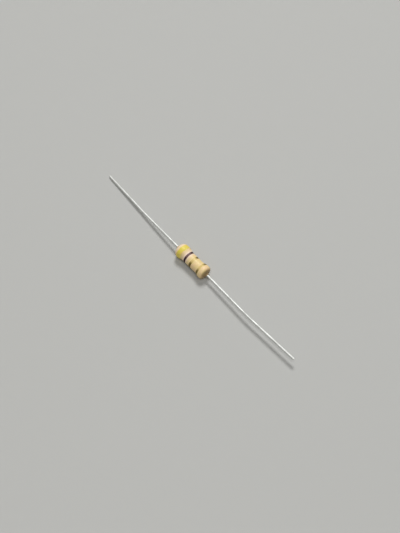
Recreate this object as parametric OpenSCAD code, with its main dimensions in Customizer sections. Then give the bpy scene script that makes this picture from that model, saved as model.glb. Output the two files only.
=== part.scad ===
// Axial carbon-film resistor, half watt, 4.7 ohm 5%: a dog-bone lacquered body on a
// ceramic rod, with a wire lead at each end. It lies on a flat surface as it came to
// rest: the body leans on its two swollen ends, rolled until the tip of the bent
// yellow-end lead meets the surface.
// +X runs from the yellow end to the gold end, +Z is up, and the origin is on the
// surface below the middle of the body. Millimetres.

/* [Rod and carbon film] */
// Diameter of the ceramic rod
rod_d = 2.2; // [1.8:0.05:3]
// Length of the ceramic rod
rod_len = 7.4; // [7:0.1:9]
// Chamfer at each end of the rod
rod_chamfer = 0.12; // [0.05:0.01:0.2]
// Thickness of the carbon film on the rod
film_t = 0.03; // [0.02:0.005:0.05]
// Width of the trimming groove cut through the film
groove_w = 0.22; // [0.1:0.02:0.4]
// Advance of the trimming groove in one turn
groove_pitch = 0.9; // [0.6:0.05:1.1]
// Number of turns of the trimming groove
groove_turns = 3; // [1:0.25:3]

/* [End caps] */
// Wall of the drawn steel caps
cap_wall = 0.18; // [0.12:0.01:0.2]
// Inside depth of the caps, over the rod
cap_depth = 1.85; // [1.5:0.05:2]
// Outer corner radius of the drawn caps
cap_round = 0.22; // [0.1:0.02:0.3]

/* [Lacquer coat] */
// Thickness of the coat over the film, at the waist
waist_t = 0.25; // [0.22:0.01:0.4]
// Thickness of the coat round the yellow-end cap
yellow_cover_t = 0.37; // [0.25:0.01:0.5]
// Thickness of the coat round the gold-end cap
gold_cover_t = 0.31; // [0.25:0.01:0.5]
// Depth of lacquer past the face of each cap, along the lead
end_cover = 0.66; // [0.5:0.02:0.9]
// Length of the yellow bulge, from the body's end to its shoulder
yellow_bulge_len = 1.9; // [1.6:0.05:2.3]
// Length of the shoulder that draws the yellow bulge in to the waist
yellow_shoulder_len = 0.9; // [0.5:0.05:1.1]
// Length of the gold bulge, from the body's end to its shoulder
gold_bulge_len = 1.45; // [1.4:0.05:2]
// Length of the shoulder that draws the gold bulge in to the waist
gold_shoulder_len = 0.7; // [0.4:0.05:1]
// Radius of the coat's rounded corner at the yellow end
yellow_round = 0.85; // [0.6:0.05:1.2]
// Radius of the coat's rounded corner at the gold end
gold_round = 0.65; // [0.5:0.05:1.2]
// Lean of the end faces towards the leads, in degrees
end_slope = 14; // [5:1:20]
// Radius of the lacquer fillet that creeps up each lead
creep_r = 0.35; // [0.2:0.05:0.5]

/* [Leads] */
// Diameter of the tinned copper wire
lead_d = 0.55; // [0.5:0.01:0.6]
// Length of the yellow-end lead outside the body
yellow_lead_len = 26.1; // [20:0.1:30]
// Length of the gold-end lead outside the body
gold_lead_len = 26.4; // [20:0.1:30]
// Radius of the weld fillet between lead and cap
weld_r = 0.12; // [0.08:0.01:0.2]
// Straight stretch between the body and the first bend
root_len = 1; // [0.8:0.1:2]
// Inside radius of the bends next to the body
root_bend_r = 8; // [4:0.5:12]
// Bend of the yellow-end lead next to the body, in degrees
yellow_root_bend = 5.6; // [4.5:0.1:10]
// Bend of the gold-end lead next to the body, in degrees
gold_root_bend = 2.8; // [1:0.1:6]
// Straight stretch from the first bend to the long, gentle one
mid_len = 9.5; // [6:0.5:12]
// Radius of the gentle bends
mid_bend_r = 60; // [30:5:80]
// Gentle bend of the yellow-end lead, in degrees
yellow_mid_bend = 2; // [1:0.1:4]
// Gentle bend of the gold-end lead, in degrees
gold_mid_bend = 3.6; // [1:0.1:5]
// Direction of the yellow lead's gentle bend round the body axis, in degrees
yellow_mid_turn = 31; // [-90:1:90]
// Direction of the gold lead's first bend round the body axis, in degrees
gold_root_turn = 108; // [0:1:180]
// Direction of the gold lead's gentle bend round the body axis, in degrees
gold_mid_turn = -46; // [-90:1:90]

/* [Colour bands] */
// Thickness of the printed bands on the coat
paint_t = 0.02; // [0.01:0.005:0.03]
// Yellow band: distance of its middle from the body's yellow end
yellow_at = 1.54; // [1.4:0.02:1.6]
// Width of the yellow band
yellow_w = 1.1; // [0.6:0.05:1.3]
// Violet band: distance of its middle from the body's yellow end
violet_at = 3.35; // [3.1:0.05:3.6]
// Width of the violet band
violet_w = 0.54; // [0.3:0.02:0.7]
// Gold multiplier band: distance of its middle from the body's yellow end
multiplier_at = 5; // [4.5:0.05:5.2]
// Width of the gold multiplier band
multiplier_w = 0.55; // [0.3:0.05:0.7]
// Gold tolerance band: distance of its middle from the body's gold end
tolerance_at = 1.74; // [1.5:0.02:2.2]
// Width of the gold tolerance band
tolerance_w = 0.55; // [0.3:0.05:0.7]

/* [Hidden] */
$fn = 48;
// Steps of each rounded corner, fillet and shoulder in a turned outline
arc_steps = 8;
// Steps of one turn of the trimming groove
groove_steps = 36;

lead_r = lead_d / 2;
rod_r = rod_d / 2;
film_r = rod_r + film_t;
cap_r = film_r + cap_wall;
cap_lip = rod_len / 2 - cap_depth;
cap_face = rod_len / 2 + cap_wall;
half_body = cap_face + end_cover;
waist_r = film_r + waist_t;
yellow_r = cap_r + yellow_cover_t;
gold_r = cap_r + gold_cover_t;

// ---- Turned outlines: points [radius, distance along the body axis] ----

function arc(centre, r, from, to) =
    [for (i = [0:arc_steps]) let (a = from + (to - from) * i / arc_steps)
        centre + r * [sin(a), cos(a)]];
function flipped(points) =
    [for (i = [len(points) - 1:-1:0]) [points[i][0], -points[i][1]]];

// The coat's end: a rounded corner, a leaning face and the fillet up the lead
function corner_end(bulge_r, round) =
    let (edge_r = bulge_r - round * (1 - sin(end_slope)))
    [edge_r, half_body - (edge_r - lead_r) * tan(end_slope)];
function creep_at(bulge_r, round) =
    let (edge = corner_end(bulge_r, round))
    edge[1] + (creep_r - (lead_r + creep_r - edge[0]) * sin(end_slope)) / cos(end_slope);
function coat_end(bulge_r, round) = concat(
    arc([bulge_r - round, corner_end(bulge_r, round)[1] - round * cos(end_slope)],
        round, 90, end_slope),
    arc([lead_r + creep_r, creep_at(bulge_r, round)], creep_r, 180 + end_slope, 270)
);
// The coat draws in from the waist at one distance to the bulge at another
function shoulder(bulge_r, bulge_len, shoulder_len) =
    [for (i = [0:arc_steps]) let (t = i / arc_steps)
        [waist_r + (bulge_r - waist_r) * (1 - cos(180 * t)) / 2,
         half_body - bulge_len - shoulder_len * (1 - t)]];

yellow_half = concat(
    shoulder(yellow_r, yellow_bulge_len, yellow_shoulder_len), coat_end(yellow_r, yellow_round)
);
gold_half = concat(
    shoulder(gold_r, gold_bulge_len, gold_shoulder_len), coat_end(gold_r, gold_round)
);
coat_edge = concat(flipped(yellow_half), gold_half);

// The coat's stretch under a band, between two distances along the axis
function under_band(from, to) =
    let (table = [for (p = coat_edge) [p[1], p[0]]])
    [for (x = concat([from], [for (p = table) if (p[0] > from && p[0] < to) p[0]], [to]))
        [lookup(x, table), x]];
function painted(edge) = [for (p = edge) p + [paint_t, 0]];
function edge_from_yellow(at, width) =
    under_band(at - width / 2 - half_body, at + width / 2 - half_body);
yellow_edge = edge_from_yellow(yellow_at, yellow_w);
violet_edge = edge_from_yellow(violet_at, violet_w);
multiplier_edge = edge_from_yellow(multiplier_at, multiplier_w);
tolerance_edge =
    under_band(half_body - tolerance_at - tolerance_w / 2, half_body - tolerance_at + tolerance_w / 2);

// The cap's outside, from its lip to the weld fillet's foot
cap_edge = concat(
    [[cap_r, cap_lip]],
    arc([cap_r - cap_round, cap_face - cap_round], cap_round, 90, 0)
);
weld_edge = arc([lead_r + weld_r, cap_face + weld_r], weld_r, 180, 270);
// What the coat closes over: film, cap, weld and lead
function core_half(creep) =
    concat([[film_r, cap_lip]], cap_edge, weld_edge, [[lead_r, creep]]);

module turned(points) {
    rotate([0, 90, 0])
        rotate_extrude()
            polygon(points);
}

// ---- Wire leads: steps of [straight length, bend angle, bend radius, direction] ----

yellow_bends = [
    [half_body + root_len, yellow_root_bend, root_bend_r, -90],
    [mid_len, yellow_mid_bend, mid_bend_r, yellow_mid_turn],
];
gold_bends = [
    [half_body + root_len, gold_root_bend, root_bend_r, gold_root_turn],
    [mid_len, gold_mid_bend, mid_bend_r, gold_mid_turn],
];
function arc_len(step) = step[2] * step[1] * PI / 180;
function used_len(bends) = [for (s = bends) s[0] + arc_len(s)] * [for (s = bends) 1];
// The last step is the straight free end
function lead_steps(bends, lead_len) =
    concat(bends, [[half_body + lead_len - used_len(bends), 0, 0, 0]]);
yellow_steps = lead_steps(yellow_bends, yellow_lead_len);
gold_steps = lead_steps(gold_bends, gold_lead_len);

function about_x(a) = [[1, 0, 0], [0, cos(a), -sin(a)], [0, sin(a), cos(a)]];
function about_z(a) = [[cos(a), -sin(a), 0], [sin(a), cos(a), 0], [0, 0, 1]];
function bend_end(s) = [s[2] * sin(s[1]), s[2] * (1 - cos(s[1])), 0];
// Tip of a lead that sets out along +X from the middle of the body
function lead_tip(steps, i = 0) =
    i == len(steps) ? [0, 0, 0] :
    let (s = steps[i])
    [s[0], 0, 0] + about_x(s[3])
        * (bend_end(s) + about_z(s[1]) * about_x(-s[3]) * lead_tip(steps, i + 1));

// Moves to a bend's end in two steps, as a built distance keeps six digits only
module at_bend_end(s) {
    end = bend_end(s);
    near = [for (c = end) round(100 * c) / 100];
    translate(near)
        translate(end - near)
            children();
}

module wire(steps, start, i = 0) {
    s = steps[i];
    translate([start, 0, 0])
        rotate([0, 90, 0])
            cylinder(h = s[0] - start, d = lead_d);
    if (i + 1 < len(steps))
        translate([s[0], 0, 0])
            rotate([s[3], 0, 0]) {
                translate([0, s[2], 0])
                    rotate([0, 0, -90])
                        rotate_extrude(angle = s[1])
                            translate([s[2], 0])
                                circle(d = lead_d);
                at_bend_end(s)
                    rotate([0, 0, s[1]])
                        rotate([-s[3], 0, 0])
                            wire(steps, 0, i + 1);
            }
}

// The wire and its weld fillet, in the body's own axis
module lead(steps) {
    weld_top = cap_face + weld_r;
    wire(steps, weld_top);
    turned(concat([[0, cap_face]], weld_edge, [[0, weld_top]]));
}

// ---- At rest: both bulges and the yellow lead's tip meet the surface ----

skin = concat(coat_edge, painted(yellow_edge), painted(tolerance_edge));
// Distance from the axis to the line that bridges the two bulges, at the middle of the body
bridge_r = max([for (a = skin, b = skin) if (a[1] < 0 && b[1] > 0)
    (a[0] * b[1] - b[0] * a[1]) / (b[1] - a[1])]);
lean = atan(min([for (b = skin) if (b[1] > 0) (bridge_r - b[0]) / b[1]]));
rest_h = bridge_r * cos(lean);
yellow_tip = lead_tip(yellow_steps);
tip_reach = norm([yellow_tip[1], yellow_tip[2]]);
tip_drop = (rest_h + yellow_tip[0] * sin(lean) - lead_r) / cos(lean);
roll = -asin(min(1, tip_drop / tip_reach)) - atan2(yellow_tip[2], yellow_tip[1]);

module at_rest() {
    translate([0, 0, rest_h])
        rotate([0, lean, 0])
            rotate([roll, 0, 0])
                children();
}

// ---- Rod, film and caps ----

module ceramic_rod() {
    color("whitesmoke")
        at_rest()
            turned([
                [0, -rod_len / 2],
                [rod_r - rod_chamfer, -rod_len / 2],
                [rod_r, rod_chamfer - rod_len / 2],
                [rod_r, rod_len / 2 - rod_chamfer],
                [rod_r - rod_chamfer, rod_len / 2],
                [0, rod_len / 2],
            ]);
}

// Cutter for the groove: a bar of square section led round the rod as a helix
module trim_groove() {
    turns_len = groove_turns * groove_pitch;
    count = ceil(groove_turns * groove_steps);
    section = [
        [rod_r - film_t, -groove_w / 2], [film_r + film_t, -groove_w / 2],
        [film_r + film_t, groove_w / 2], [rod_r - film_t, groove_w / 2],
    ];
    points = [for (i = [0:count]) let (a = 360 * groove_turns * i / count) for (p = section)
        [turns_len * (i / count - 0.5) + p[1], p[0] * cos(a), p[0] * sin(a)]];
    sides = [for (i = [0:count - 1]) for (k = [0:3]) let (n = (k + 1) % 4)
        [4 * i + k, 4 * i + n, 4 * i + 4 + n, 4 * i + 4 + k]];
    last = 4 * count;
    polyhedron(points, concat([[3, 2, 1, 0]], sides, [[last, last + 1, last + 2, last + 3]]));
}

module carbon_film() {
    half_film = rod_len / 2 - rod_chamfer;
    color("dimgray")
        at_rest()
            difference() {
                turned([
                    [rod_r, -half_film], [film_r, -half_film],
                    [film_r, half_film], [rod_r, half_film],
                ]);
                trim_groove();
            }
}

cap_outline = concat(
    cap_edge,
    [[0, cap_face], [0, rod_len / 2], [film_r, rod_len / 2], [film_r, cap_lip]]
);

module yellow_end_cap() {
    color("silver")
        at_rest()
            turned(flipped(cap_outline));
}

module gold_end_cap() {
    color("silver")
        at_rest()
            turned(cap_outline);
}

// ---- Leads ----

module yellow_end_lead() {
    color("gainsboro")
        at_rest()
            mirror([1, 0, 0])
                lead(yellow_steps);
}

module gold_end_lead() {
    color("gainsboro")
        at_rest()
            lead(gold_steps);
}

// ---- Coat and bands ----

module lacquer_coat() {
    core_edge = concat(
        flipped(core_half(-coat_edge[0][1])), core_half(coat_edge[len(coat_edge) - 1][1])
    );
    color("burlywood")
        at_rest()
            turned(concat(coat_edge, [for (i = [len(core_edge) - 2:-1:1]) core_edge[i]]));
}

// A ring of paint on a stretch of the coat
module band(edge) {
    top = painted(edge);
    at_rest()
        turned(concat(edge, [for (i = [len(top) - 1:-1:0]) top[i]]));
}

module yellow_band() {
    color("gold")
        band(yellow_edge);
}

module violet_band() {
    color("indigo")
        band(violet_edge);
}

module gold_multiplier_band() {
    color("darkgoldenrod")
        band(multiplier_edge);
}

module gold_tolerance_band() {
    color("darkgoldenrod")
        band(tolerance_edge);
}

ceramic_rod();
carbon_film();
yellow_end_cap();
gold_end_cap();
yellow_end_lead();
gold_end_lead();
lacquer_coat();
yellow_band();
violet_band();
gold_multiplier_band();
gold_tolerance_band();
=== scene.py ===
# Looks of the axial resistor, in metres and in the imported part's own frame.
# The coat, its bands and the leads are made finer here; the pieces inside keep their solids.
import math

import bmesh
import bpy
from mathutils import Matrix, Vector, noise


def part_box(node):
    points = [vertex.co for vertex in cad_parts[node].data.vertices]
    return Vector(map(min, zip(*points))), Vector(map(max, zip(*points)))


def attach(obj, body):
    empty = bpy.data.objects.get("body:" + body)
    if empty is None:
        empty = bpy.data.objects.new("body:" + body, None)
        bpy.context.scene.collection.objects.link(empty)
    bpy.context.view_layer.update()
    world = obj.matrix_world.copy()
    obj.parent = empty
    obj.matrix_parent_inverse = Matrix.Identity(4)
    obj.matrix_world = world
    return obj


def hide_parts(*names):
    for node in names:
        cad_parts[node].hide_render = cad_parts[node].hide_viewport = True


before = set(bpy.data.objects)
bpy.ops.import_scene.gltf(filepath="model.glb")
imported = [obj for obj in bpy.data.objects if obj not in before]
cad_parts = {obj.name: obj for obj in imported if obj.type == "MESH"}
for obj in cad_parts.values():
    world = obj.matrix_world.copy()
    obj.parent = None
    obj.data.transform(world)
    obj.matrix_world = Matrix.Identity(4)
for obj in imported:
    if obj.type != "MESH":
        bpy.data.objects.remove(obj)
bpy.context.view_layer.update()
print("frame loaded:", len(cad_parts), "solids")

mm = 0.001
joinDistance = 0.0005 * mm  # points nearer than this become one
sharpAngle = math.radians(40)

# the view: a lens of a phone, held above one side
camera = {
    "lens": 51.7,
    "sensor": 36,
    "nearest": 1 * mm,
    "farthest": 20,
    "position": (62.233 * mm, -53.951 * mm, 146.04 * mm),
    "lookAt": (1.41 * mm, 0.904 * mm, 0.076 * mm),
}


def makeCamera(plan):
    view = bpy.data.cameras.new("camera")
    view.lens = plan["lens"]
    view.sensor_width = plan["sensor"]
    view.clip_start = plan["nearest"]
    view.clip_end = plan["farthest"]
    held = bpy.data.objects.new("camera", view)
    bpy.context.scene.collection.objects.link(held)
    held.location = plan["position"]
    gaze = Vector(plan["lookAt"]) - Vector(plan["position"])
    held.rotation_euler = gaze.to_track_quat("-Z", "Y").to_euler()
    bpy.context.scene.camera = held
    bpy.context.scene.view_settings.view_transform = "Standard"


makeCamera(camera)
print("camera placed")


def tone(red, green, blue):
    # a colour as a screen shows it, 0 to 255, turned into the linear one that shaders use
    shares = [value / 255 for value in (red, green, blue)]
    return tuple(s / 12.92 if s <= 0.04045 else ((s + 0.055) / 1.055) ** 2.4 for s in shares) + (1,)


# a shader socket that takes Python's operators
class Socket:
    def __init__(self, tree, out=None):
        self.tree = tree
        self.out = out

    def node(self, kind, settings=None, values=None, out=0):
        made = self.tree.nodes.new("ShaderNode" + kind)
        for name, setting in (settings or {}).items():
            setattr(made, name, setting)
        for name, value in (values or {}).items():
            if isinstance(value, Socket):
                self.tree.links.new(value.out, made.inputs[name])
            else:
                made.inputs[name].default_value = value
        return Socket(self.tree, made.outputs[out] if len(made.outputs) else None)

    def maths(self, operation, *values):
        return self.node("Math", {"operation": operation}, dict(enumerate(values)))

    def __add__(self, other):
        return self.maths("ADD", self, other)

    def __radd__(self, other):
        return self.maths("ADD", other, self)

    def __sub__(self, other):
        return self.maths("SUBTRACT", self, other)

    def __rsub__(self, other):
        return self.maths("SUBTRACT", other, self)

    def __mul__(self, other):
        return self.maths("MULTIPLY", self, other)

    def __rmul__(self, other):
        return self.maths("MULTIPLY", other, self)

    def __truediv__(self, other):
        return self.maths("DIVIDE", self, other)

    def clamped(self):
        return self.maths("MINIMUM", self.maths("MAXIMUM", self, 0), 1)

    def ramp(self, low, high):
        # 0 below low, 1 above high, smooth between
        return self.node(
            "MapRange",
            {"interpolation_type": "SMOOTHSTEP"},
            {"Value": self, "From Min": low, "From Max": high},
        )

    def near(self, place, reach):
        # 1 at place, 0 from reach away
        away = self - place
        return 1 - (away.maths("ABSOLUTE", away) / reach).ramp(0, 1)

    def noise(self, size, detail):
        # soft noise, about that size across in metres
        return self.node(
            "TexNoise", {}, {"Vector": self, "Scale": 1 / size, "Detail": detail, "Roughness": 0.5}
        )

    def patches(self, size, detail, low, high):
        # noise with its low part cut to 0 and its high part to 1
        return self.noise(size, detail).ramp(low, high)

    def part(self, axis):
        # one of the three numbers of a place
        return self.node("SeparateXYZ", {}, {"Vector": self}, out=axis)

    def mix(self, first, second):
        # this socket's share of the second colour over the first
        return self.node("Mix", {"data_type": "RGBA"}, {0: self, 6: first, 7: second}, out=2)


def newFinish(name):
    finish = bpy.data.materials.new(name)
    finish.use_nodes = True
    finish.node_tree.nodes.clear()
    return finish, Socket(finish.node_tree)


def closeFinish(start, colour, roughness, relief, depth, **others):
    values = {"Base Color": colour, "Roughness": roughness}
    values.update({name.replace("_", " "): value for name, value in others.items()})
    values["Normal"] = start.node("Bump", {}, {"Strength": 1, "Distance": depth, "Height": relief})
    shader = start.node("BsdfPrincipled", {}, values)
    start.node("OutputMaterial", {}, {"Surface": shader})


# how the part lies: the same height, lean and roll as in its solids
rest = {
    "height": 1.67146 * mm,
    "lean": math.radians(0.617206),
    "roll": math.radians(27.6594),
}
leaning = Matrix.Translation((0, 0, rest["height"])) @ Matrix.Rotation(rest["lean"], 4, "Y")
rolled = leaning @ Matrix.Rotation(rest["roll"], 4, "X")


def bodyPlace(start):
    # coordinates along the resistor's own axis: x along it from the middle of the body
    ownPlace = start.node("TexCoord", out=3)
    return start.node(
        "Mapping",
        {"vector_type": "TEXTURE"},
        {"Vector": ownPlace, "Location": (0, 0, rest["height"]), "Rotation": (0, rest["lean"], 0)},
    )


def finishPiece(mesh, name, finish, place, node):
    bmesh.ops.transform(mesh, matrix=place, verts=mesh.verts)
    bmesh.ops.remove_doubles(mesh, verts=mesh.verts, dist=joinDistance)
    bmesh.ops.recalc_face_normals(mesh, faces=mesh.faces)
    data = bpy.data.meshes.new(name)
    mesh.to_mesh(data)
    mesh.free()
    data.shade_smooth()
    data.set_sharp_from_angle(angle=sharpAngle)
    data.materials.append(finish)
    piece = bpy.data.objects.new(name, data)
    bpy.context.scene.collection.objects.link(piece)
    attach(piece, "root")
    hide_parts(node)
    low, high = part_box(node)
    corners = [v.co for v in data.vertices]
    off = max(
        max(abs(min(c[i] for c in corners) - low[i]), abs(max(c[i] for c in corners) - high[i]))
        for i in range(3)
    )
    print(name, "has", len(data.polygons), "faces, box within", round(off / mm, 3), "mm of the solid")


# the coat: its outline has a few corners, which are rounded and kept as points [x, radius]
coat = {
    "halfLength": 4.54 * mm,
    "waistRadius": 1.38 * mm,
    "faceSlope": math.radians(14),
    "creepRadius": 0.35 * mm,
    "creepSpare": 1.001,  # keeps a hair of wire past the creep, so that its rounding fits
    "leadRadius": 0.275 * mm,
    "yellowEnd": {"radius": 1.68 * mm, "bulge": 1.9 * mm, "shoulder": 0.9 * mm, "corner": 0.85 * mm},
    "goldEnd": {"radius": 1.62 * mm, "bulge": 1.45 * mm, "shoulder": 0.7 * mm, "corner": 0.65 * mm},
    "ease": 0.47,  # how much of a shoulder's length each of its corners is rounded over
    "filmRadius": 1.13 * mm,
    "capRadius": 1.31 * mm,
    "capLip": 1.85 * mm,
    "capFace": 3.88 * mm,
    "capCorner": 0.22 * mm,
    "weldRadius": 0.12 * mm,
    "skinSteps": 8,
    "innerSteps": 4,
    "longestEdge": 0.12 * mm,
    "turns": 112,
    "seam": 0.001 * mm,  # the skin and the inner wall meet within this
    "skinReach": 0.002 * mm,  # points this near the outline belong to the skin
    # how far the lacquer ran: the shoulders sit further along on one side, and the skin is uneven
    "yellowSway": 0.35 * mm,
    "yellowRun": [(-3.7 * mm, -3.2 * mm), (-0.4 * mm, 0.4 * mm)],
    "goldSway": 0.12 * mm,
    "goldRun": [(0.6 * mm, 1.4 * mm), (3.2 * mm, 3.7 * mm)],
    "swayAngle": math.radians(20),
    "lump": 0.012 * mm,
    "lumpSize": 1.1 * mm,
    "lumpsEnd": (3.9 * mm, 4.4 * mm),
}


def addPath(mesh, corners, segments, closed=False):
    # a line of corners, [x, radius, reach of the rounding], each of them rounded
    made = [mesh.verts.new((x, 0, radius)) for x, radius, reach in corners]
    for pair in zip(made, made[1:]):
        mesh.edges.new(pair)
    if closed:
        mesh.edges.new((made[-1], made[0]))
    for vert, (x, radius, reach) in zip(made, corners):
        if reach:
            bmesh.ops.bevel(
                mesh, geom=[vert], offset=reach, offset_type="OFFSET", segments=segments,
                profile=0.5, affect="VERTICES", material=-1, clamp_overlap=True,
            )


def coatCorners(end, side):
    # from the tip of the creep to the waist, on one side of the body
    slope = math.tan(coat["faceSlope"])
    turn = math.tan((math.pi / 2 - coat["faceSlope"]) / 2)
    creep = coat["creepRadius"] * turn
    edge = coat["halfLength"] - (end["radius"] - coat["leadRadius"]) * slope
    top = coat["halfLength"] - end["bulge"]
    ease = end["shoulder"] * coat["ease"]
    return [
        [side * (coat["halfLength"] + creep * coat["creepSpare"]), coat["leadRadius"], 0],
        [side * coat["halfLength"], coat["leadRadius"], creep],
        [side * edge, end["radius"], end["corner"] * turn],
        [side * top, end["radius"], ease],
        [side * (top - end["shoulder"]), coat["waistRadius"], ease],
    ]


def refined(mesh):
    long = [e for e in mesh.edges if e.calc_length() > coat["longestEdge"]]
    for edge in long:
        cuts = int(edge.calc_length() / coat["longestEdge"])
        bmesh.ops.subdivide_edges(mesh, edges=[edge], cuts=cuts)


def coatOutline():
    mesh = bmesh.new()
    corners = coatCorners(coat["yellowEnd"], -1) + coatCorners(coat["goldEnd"], 1)[::-1]
    addPath(mesh, corners, coat["skinSteps"])
    refined(mesh)
    points = sorted([v.co.x, v.co.z] for v in mesh.verts)
    mesh.free()
    return points


outline = coatOutline()
print("coat outline has", len(outline), "points")


def outlineRadius(x):
    if x <= outline[0][0]:
        return outline[0][1]
    for (x0, r0), (x1, r1) in zip(outline, outline[1:]):
        if x <= x1:
            return r0 + (r1 - r0) * (x - x0) / max(x1 - x0, 1e-9)
    return outline[-1][1]


def step(x, low, high):
    t = min(1, max(0, (x - low) / (high - low)))
    return t * t * (3 - 2 * t)


def within(x, rise, fall):
    # 1 between the two stretches, climbing over the first and falling over the second
    return step(x, *rise) * (1 - step(x, *fall))


def skinRadius(x, angle):
    # the coat's real skin, at a distance along the body and an angle round it
    side = math.cos(angle - coat["swayAngle"])
    yellow = within(x, *coat["yellowRun"])
    gold = within(x, *coat["goldRun"])
    sway = side * (coat["yellowSway"] * yellow - coat["goldSway"] * gold)
    radius = outlineRadius(x - sway)
    place = Vector((x, radius * math.cos(angle), radius * math.sin(angle))) / coat["lumpSize"]
    return radius + coat["lump"] * noise.noise(place) * (1 - step(abs(x), *coat["lumpsEnd"]))


def aroundAxis(co):
    return math.hypot(co.y, co.z), math.atan2(co.z, co.y)


def setAround(co, x, radius, angle):
    co.x, co.y, co.z = x, radius * math.cos(angle), radius * math.sin(angle)


def spun(mesh):
    # the outline turned right round the body's axis
    bmesh.ops.spin(
        mesh, geom=mesh.verts[:] + mesh.edges[:], cent=(0, 0, 0), axis=(1, 0, 0),
        angle=math.tau, steps=coat["turns"], use_merge=True, use_duplicate=False,
    )
    bmesh.ops.remove_doubles(mesh, verts=mesh.verts, dist=joinDistance)


# the lacquer's colours; patches here and below are size, detail and the two levels that they run between
lacquer = {
    "beige": tone(224, 196, 144),
    "straw": tone(229, 206, 142),
    "peach": tone(236, 203, 156),
    "pale": tone(245, 221, 208),
    # brown: the colour of the specks, and of the painted shade on the end faces
    "brown": tone(118, 85, 42),
    "patch": (0.8 * mm, 3, 0.38, 0.62),
    "mottle": (0.25 * mm, 3, 0.3, 0.7),
    "mottleShare": 0.45,
    "speck": (0.06 * mm, 1, 0.68, 0.78),
    "speckShare": 0.25,
    # a pale stretch round the violet band, and a fainter one round the yellow rim: partly the lacquer's
    # paler tint, partly painted highlight
    "paleAt": -1.25 * mm,
    "paleReach": 1.05 * mm,
    "paleShare": 0.62,
    "paleMottle": 0.38,
    "rimAt": -3.9 * mm,
    "rimReach": 0.5 * mm,
    "rimShare": 0.5,
    # the end faces turn brown between these distances from the middle: painted shade, partly the lacquer's
    # own browner tone at its ends
    "goldEndBrownShade": (3.95 * mm, 4.45 * mm),
    "goldEndBrownShadeShare": 0.78,
    "yellowEndBrownShade": (4.36 * mm, 4.55 * mm),
    "yellowEndBrownShadeShare": 0.6,
    "gloss": (0.8 * mm, 2),
    "roughness": 0.47,
    "roughnessSpread": 0.14,
    "coatWeight": 0.08,
    "coatRoughness": 0.32,
    "peel": (0.16 * mm, 2),
    "peelDepth": 0.004 * mm,
}


def lacquerColour(place):
    plan = lacquer
    along = place.part(0)
    mottle = place.patches(*plan["mottle"])
    base = place.patches(*plan["patch"]).mix(plan["straw"], plan["peach"])
    base = (mottle * plan["mottleShare"]).mix(base, plan["beige"])
    # painted highlight, partly the lacquer's own paler tint: lighter round the violet band and round the
    # yellow rim
    pale = along.near(plan["paleAt"], plan["paleReach"]) * (plan["paleShare"] + plan["paleMottle"] * mottle)
    pale = pale + along.near(plan["rimAt"], plan["rimReach"]) * plan["rimShare"]
    base = pale.clamped().mix(base, plan["pale"])
    # painted shade, partly the lacquer's own browner tone: the end faces are browned, the gold end's over a
    # wider stretch
    goldEndBrownShade = along.ramp(*plan["goldEndBrownShade"]) * plan["goldEndBrownShadeShare"]
    yellowEndBrownShade = (0 - along).ramp(*plan["yellowEndBrownShade"]) * plan["yellowEndBrownShadeShare"]
    specks = place.patches(*plan["speck"]) * plan["speckShare"]
    return (goldEndBrownShade + yellowEndBrownShade + specks).clamped().mix(base, plan["brown"])


def lacquerFinish():
    finish, start = newFinish("beigeLacquer")
    place = bodyPlace(start)
    gloss = place.noise(*lacquer["gloss"])
    closeFinish(
        start, lacquerColour(place), lacquer["roughness"] + lacquer["roughnessSpread"] * gloss,
        place.noise(*lacquer["peel"]), lacquer["peelDepth"],
        Coat_Weight=lacquer["coatWeight"], Coat_Roughness=lacquer["coatRoughness"],
    )
    return finish


def makeCoat():
    mesh = bmesh.new()
    tip = outline[-1][0]
    inner = []
    for side in (-1, 1):
        half = [
            [side * coat["capFace"], coat["leadRadius"], coat["weldRadius"]],
            [side * coat["capFace"], coat["capRadius"], coat["capCorner"]],
            [side * coat["capLip"], coat["capRadius"], 0],
            [side * coat["capLip"], coat["filmRadius"], 0],
        ]
        inner += half if side < 0 else half[::-1]
    wire = [[x, coat["leadRadius"], 0] for x in (-tip, tip)]
    addPath(mesh, wire[:1] + inner + wire[1:], coat["innerSteps"])
    skin = [mesh.verts.new((x, 0, radius)) for x, radius in outline]
    for pair in zip(skin, skin[1:]):
        mesh.edges.new(pair)
    bmesh.ops.remove_doubles(mesh, verts=mesh.verts, dist=coat["seam"])
    spun(mesh)
    for vert in mesh.verts:
        radius, angle = aroundAxis(vert.co)
        if abs(radius - outlineRadius(vert.co.x)) < coat["skinReach"]:
            setAround(vert.co, vert.co.x, skinRadius(vert.co.x, angle), angle)
    finishPiece(mesh, "coat", lacquerFinish(), leaning, "lacquer_coat")


makeCoat()

# the printed bands, from the thick end to the other
bands = {
    "thickness": 0.02 * mm,
    "sunk": 0.01 * mm,
    "edge": 0.035 * mm,  # how far in from its edge the paint reaches its full thickness
    "edgeEase": 0.4,  # the share of that over which the corner is rounded
    "edgeSteps": 3,
    "wobble": 0.05 * mm,
    "wobbleSize": 0.9 * mm,
    "wobbleStride": 7,  # how far apart in the noise two edges a millimetre apart are read
    "wobbleGap": 40,  # keeps the two edges of one band from waving alike
    "yellow": {
        "node": "yellow_band", "slot": "yellow_paint", "middle": -3.0 * mm, "width": 1.1 * mm,
    },
    "violet": {
        "node": "violet_band", "slot": "violet_paint", "middle": -1.19 * mm, "width": 0.54 * mm,
    },
    "multiplier": {
        "node": "gold_multiplier_band", "slot": "gold_paint", "middle": 0.46 * mm, "width": 0.55 * mm,
    },
    "tolerance": {
        "node": "gold_tolerance_band", "slot": "gold_paint", "middle": 2.8 * mm, "width": 0.55 * mm,
    },
}


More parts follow.
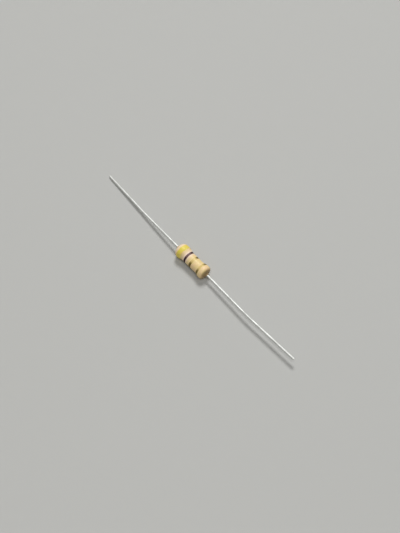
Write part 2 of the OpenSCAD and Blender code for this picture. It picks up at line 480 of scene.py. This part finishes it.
def makeBand(name, finish):
    plan = bands[name]
    low = plan["middle"] - plan["width"] / 2
    high = plan["middle"] + plan["width"] / 2
    drum = coat["waistRadius"]
    top = drum + bands["thickness"]
    ease = bands["edge"] * bands["edgeEase"]
    mesh = bmesh.new()
    corners = [
        [low, drum - bands["sunk"], 0],
        [low, drum, 0],
        [low + bands["edge"], top, ease],
        [high - bands["edge"], top, ease],
        [high, drum, 0],
        [high, drum - bands["sunk"], 0],
    ]
    addPath(mesh, corners, bands["edgeSteps"], closed=True)
    refined(mesh)
    spun(mesh)
    lowSeed = Vector((0, 0, low / mm * bands["wobbleStride"]))
    highSeed = Vector((0, 0, high / mm * bands["wobbleStride"] + bands["wobbleGap"]))
    for vert in mesh.verts:
        radius, angle = aroundAxis(vert.co)
        about = Vector((math.cos(angle), math.sin(angle), 0)) * coat["waistRadius"] / bands["wobbleSize"]
        share = (vert.co.x - low) / plan["width"]
        sway = (1 - share) * noise.noise(about + lowSeed) + share * noise.noise(about + highSeed)
        x = vert.co.x + bands["wobble"] * sway
        setAround(vert.co, x, skinRadius(x, angle) + radius - drum, angle)
    finishPiece(mesh, name + "Band", finish, leaning, plan["node"])


# each paint's light colour stands for its random wear and, on the violet and gold, for a painted highlight
# across the top
paints = {
    "yellow": {
        "main": tone(233, 205, 98), "shift": tone(218, 202, 76), "wearAndHighlight": tone(240, 214, 144),
        "roughness": 0.52, "metallic": 0.0, "specular": 0.5, "thin": 0.3, "topHighlight": 0.0,
    },
    "violet": {
        "main": tone(54, 21, 27), "shift": tone(38, 15, 20), "wearAndHighlight": tone(160, 128, 124),
        "roughness": 0.5, "metallic": 0.0, "specular": 0.25, "thin": 0.1, "topHighlight": 0.4,
    },
    "gold": {
        "main": tone(126, 107, 42), "shift": tone(106, 89, 34), "wearAndHighlight": tone(225, 199, 130),
        "roughness": 0.48, "metallic": 0.45, "specular": 0.4, "thin": 0.2, "topHighlight": 0.85,
    },
    "patch": (0.7 * mm, 2, 0.35, 0.65),
    "wear": (0.22 * mm, 3, 0.55, 0.75),
    "highlightCrownTurn": math.radians(-6),  # where the painted highlight on top is centred, from straight up
    "highlightCrown": (math.radians(18), math.radians(50)),  # painted highlight in full within the first angle, none past the second
    "grain": (0.05 * mm, 2),
    "grainShare": 0.16,
    "reliefDepth": 0.003 * mm,
}


def paintFinish(name):
    plan = paints[name]
    finish, start = newFinish(name + "Paint")
    place = bodyPlace(start)
    wearAndHighlight = place.patches(*paints["wear"]) * plan["thin"]
    # painted highlight: across the top of the violet and gold bands, where the lights fall, the paint is
    # lightened towards its light colour, so the gold reads light on top and dark olive on its sides
    if plan["topHighlight"]:
        turn = place.maths("ARCTAN2", place.part(1), place.part(2))
        aside = turn.maths("ABSOLUTE", turn - paints["highlightCrownTurn"])
        wearAndHighlight = (wearAndHighlight + (1 - aside.ramp(*paints["highlightCrown"])) * plan["topHighlight"]).clamped()
    grain = place.noise(*paints["grain"])
    fresh = place.patches(*paints["patch"]).mix(plan["main"], plan["shift"])
    closeFinish(
        start, wearAndHighlight.mix(fresh, plan["wearAndHighlight"]), plan["roughness"] + paints["grainShare"] * (grain - 0.5),
        grain, paints["reliefDepth"],
        Metallic=(1 - wearAndHighlight) * plan["metallic"] if plan["metallic"] else 0.0,
        Specular_IOR_Level=plan["specular"],
    )
    return finish


goldPaint = paintFinish("gold")
makeBand("yellow", paintFinish("yellow"))
makeBand("violet", paintFinish("violet"))
makeBand("multiplier", goldPaint)
makeBand("tolerance", goldPaint)
print("bands made")

# the wire leads: straight stretches, and between them bends as (angle, radius, direction)
lead = {
    "radius": 0.275 * mm,
    "root": 3.88 * mm,
    "weldRadius": 0.12 * mm,
    "weldSteps": 5,
    "segments": 40,
    "bendSteps": 8,
    "tipRound": 0.05 * mm,
    "tipSteps": 3,
    "yellowEnd": {
        "node": "yellow_end_lead",
        "straights": [5.54 * mm, 9.5 * mm, 12.7237 * mm],
        "bends": [(5.6, 8 * mm, -90), (2, 60 * mm, 31)],
        "mirrored": True,
    },
    "goldEnd": {
        "node": "gold_end_lead",
        "straights": [5.54 * mm, 9.5 * mm, 11.7391 * mm],
        "bends": [(2.8, 8 * mm, 108), (3.6, 60 * mm, -46)],
        "mirrored": False,
    },
}


def extrudeRing(mesh, ring, move):
    made = bmesh.ops.extrude_edge_only(mesh, edges=ring)["geom"]
    bmesh.ops.translate(mesh, vec=move, verts=[g for g in made if isinstance(g, bmesh.types.BMVert)])
    return [g for g in made if isinstance(g, bmesh.types.BMEdge)]


def ringVerts(ring):
    return list({v for e in ring for v in e.verts})


def weldRing(mesh, ring, size):
    # the fillet of the weld, from the cap's face up to the wire
    middle = lead["root"]
    for i in range(1, lead["weldSteps"] + 1):
        turn = math.pi / 2 * i / lead["weldSteps"]
        reached = lead["root"] + lead["weldRadius"] * (1 - math.cos(turn))
        out = lead["radius"] + lead["weldRadius"] * (1 - math.sin(turn))
        scale = out / size
        shift = Matrix.Translation((reached - middle, 0, 0)) @ Matrix.Diagonal((1, scale, scale, 1))
        ring = extrudeRing(mesh, ring, (0, 0, 0))
        bmesh.ops.transform(mesh, matrix=shift, verts=ringVerts(ring))
        middle, size = reached, out
    return ring


def bendRing(mesh, ring, way, angle, radius, direction):
    # spins the ring round a bend and gives back the ring and the way it then faces
    turned = way @ Matrix.Rotation(math.radians(direction), 4, "X")
    spin = bmesh.ops.spin(
        mesh, geom=ringVerts(ring) + ring, cent=turned @ Vector((0, radius, 0)),
        axis=turned.to_3x3() @ Vector((0, 0, 1)), angle=math.radians(angle),
        steps=lead["bendSteps"], use_merge=False, use_duplicate=False,
    )
    bent = Matrix.Translation((0, radius, 0)) @ Matrix.Rotation(math.radians(angle), 4, "Z")
    way = turned @ bent @ Matrix.Translation((0, -radius, 0))
    way = way @ Matrix.Rotation(-math.radians(direction), 4, "X")
    return [g for g in spin["geom_last"] if isinstance(g, bmesh.types.BMEdge)], way


def makeLead(end, finish):
    plan = lead[end]
    mesh = bmesh.new()
    foot = lead["radius"] + lead["weldRadius"]
    across = Matrix.Translation((lead["root"], 0, 0)) @ Matrix.Rotation(math.pi / 2, 4, "Y")
    bmesh.ops.create_circle(mesh, cap_ends=False, radius=foot, segments=lead["segments"], matrix=across)
    ring = mesh.edges[:]
    bmesh.ops.contextual_create(mesh, geom=ring)
    ring = weldRing(mesh, ring, foot)
    gone = lead["root"] + lead["weldRadius"]
    way = Matrix.Translation((gone, 0, 0))
    for i, straight in enumerate(plan["straights"]):
        length = straight - gone if i == 0 else straight
        ring = extrudeRing(mesh, ring, way.to_3x3() @ Vector((length, 0, 0)))
        way = way @ Matrix.Translation((length, 0, 0))
        if i < len(plan["bends"]):
            ring, way = bendRing(mesh, ring, way, *plan["bends"][i])
    bmesh.ops.contextual_create(mesh, geom=ring)
    bmesh.ops.bevel(
        mesh, geom=ring, offset=lead["tipRound"], offset_type="OFFSET", segments=lead["tipSteps"],
        profile=0.5, affect="EDGES", material=-1, clamp_overlap=True,
    )
    if plan["mirrored"]:
        bmesh.ops.scale(mesh, vec=(-1, 1, 1), verts=mesh.verts)
    finishPiece(mesh, end.replace("End", "Lead"), finish, rolled, plan["node"])


tin = {
    "bright": tone(232, 233, 230),
    "dull": tone(200, 201, 197),
    "drawn": (1.5 * mm, 0.03 * mm, 0.03 * mm),  # a streak's length, depth and width
    "streak": (1, 3, 0.35, 0.65),  # in streaks, not in metres
    "streakShare": 0.3,
    "patch": (1.4 * mm, 3, 0.4, 0.68),
    "patchShare": 0.4,
    "roughness": 0.56,
    "patchRoughness": 0.08,
    "streakRoughness": 0.12,
    "scratchDepth": 0.001 * mm,
}


def tinFinish():
    finish, start = newFinish("tinnedWire")
    place = bodyPlace(start)
    stretched = start.node(
        "Mapping", {}, {"Vector": place, "Scale": tuple(1 / size for size in tin["drawn"])}
    )
    streaks = stretched.patches(*tin["streak"])
    patch = place.patches(*tin["patch"])
    colour = (patch * tin["patchShare"] + tin["streakShare"] * streaks).clamped()
    roughness = tin["roughness"] + tin["patchRoughness"] * patch + tin["streakRoughness"] * streaks
    closeFinish(
        start, colour.mix(tin["bright"], tin["dull"]), roughness, streaks, tin["scratchDepth"],
        Metallic=1.0,
    )
    return finish


tinnedWire = tinFinish()
makeLead("yellowEnd", tinnedWire)
makeLead("goldEnd", tinnedWire)
print("leads made")

# the pieces inside the coat keep their solids and get a finish
inside = {
    "ceramic": {
        "light": tone(240, 236, 226), "dark": tone(222, 214, 198), "size": 0.12 * mm,
        "roughness": 0.6, "metallic": 0.0, "depth": 0.004 * mm,
    },
    "film": {
        "light": tone(62, 62, 66), "dark": tone(34, 34, 38), "size": 0.2 * mm,
        "roughness": 0.35, "metallic": 0.0, "depth": 0.001 * mm,
    },
    "steel": {
        "light": tone(204, 203, 198), "dark": tone(168, 166, 158), "size": 0.3 * mm,
        "roughness": 0.3, "metallic": 1.0, "depth": 0.001 * mm,
    },
    "spread": (3, 0.3, 0.7),  # the patches' detail and levels
    "roughnessShare": 0.1,
}


def insideFinish(name):
    plan = inside[name]
    finish, start = newFinish(name)
    patch = bodyPlace(start).patches(plan["size"], *inside["spread"])
    closeFinish(
        start, patch.mix(plan["light"], plan["dark"]), plan["roughness"] + inside["roughnessShare"] * patch,
        patch, plan["depth"], Metallic=plan["metallic"],
    )
    return finish


def repaint(nodeName, finish):
    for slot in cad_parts[nodeName].material_slots:
        slot.material = finish


repaint("ceramic_rod", insideFinish("ceramic"))
repaint("carbon_film", insideFinish("film"))
capSteel = insideFinish("steel")
repaint("yellow_end_cap", capSteel)
repaint("gold_end_cap", capSteel)
print("inside finished")

# a pale floor that curves up all round, a large light overhead and a smaller one from behind
studio = {
    "floor": tone(176, 176, 173),
    "grain": (0.5 * mm, 3),
    "grainDepth": 0.004 * mm,
    "floorRoughness": 0.7,
    "radius": 2.6,
    "curve": 1.2,
    "curveSteps": 12,
    "join": 0.1 * mm,
    "wall": 3,
    "turns": 64,
    "key": {"from": (-0.60, 0.72, 1.45), "distance": 2.4, "size": 0.8, "power": 38},
    "overhead": {"from": (0.22, -0.2, 1), "distance": 3.2, "size": 1.6, "power": 41},
    "sky": 0.06,
    "skyColour": (0.96, 0.98, 1, 1),
}


def paperFinish():
    finish, start = newFinish("floorPaper")
    grain = start.node("TexCoord", out=3).noise(*studio["grain"])
    closeFinish(start, studio["floor"], studio["floorRoughness"], grain, studio["grainDepth"])
    return finish


def makeFloor():
    mesh = bmesh.new()
    foot = mesh.verts.new((studio["radius"] - studio["curve"], 0, 0))
    bmesh.ops.spin(
        mesh, geom=[foot], cent=(foot.co.x, 0, studio["curve"]), axis=(0, -1, 0),
        angle=math.pi / 2, steps=studio["curveSteps"], use_merge=False, use_duplicate=False,
    )
    top = max(mesh.verts, key=lambda vert: vert.co.z)
    mesh.edges.new((top, mesh.verts.new(top.co + Vector((0, 0, studio["wall"])))))
    foot = min(mesh.verts, key=lambda vert: vert.co.z)
    mesh.edges.new((foot, mesh.verts.new((0, 0, 0))))
    bmesh.ops.spin(
        mesh, geom=mesh.verts[:] + mesh.edges[:], cent=(0, 0, 0), axis=(0, 0, 1),
        angle=math.tau, steps=studio["turns"], use_merge=True, use_duplicate=False,
    )
    bmesh.ops.remove_doubles(mesh, verts=mesh.verts, dist=studio["join"])
    bmesh.ops.recalc_face_normals(mesh, faces=mesh.faces)
    data = bpy.data.meshes.new("floor")
    mesh.to_mesh(data)
    mesh.free()
    data.shade_smooth()
    data.materials.append(paperFinish())
    floor = bpy.data.objects.new("floor", data)
    bpy.context.scene.collection.objects.link(floor)


def makeLight(name):
    plan = studio[name]
    lamp = bpy.data.lights.new(name, "AREA")
    lamp.shape = "DISK"
    lamp.size = plan["size"]
    lamp.energy = plan["power"]
    held = bpy.data.objects.new(name, lamp)
    bpy.context.scene.collection.objects.link(held)
    way = Vector(plan["from"]).normalized()
    held.location = way * plan["distance"]
    held.rotation_euler = way.to_track_quat("Z", "Y").to_euler()


def makeSky():
    sky = bpy.data.worlds.new("sky")
    sky.use_nodes = True
    sky.node_tree.nodes["Background"].inputs["Color"].default_value = studio["skyColour"]
    sky.node_tree.nodes["Background"].inputs["Strength"].default_value = studio["sky"]
    bpy.context.scene.world = sky


makeFloor()
makeLight("key")
makeLight("overhead")
makeSky()
print("floor and lights made")
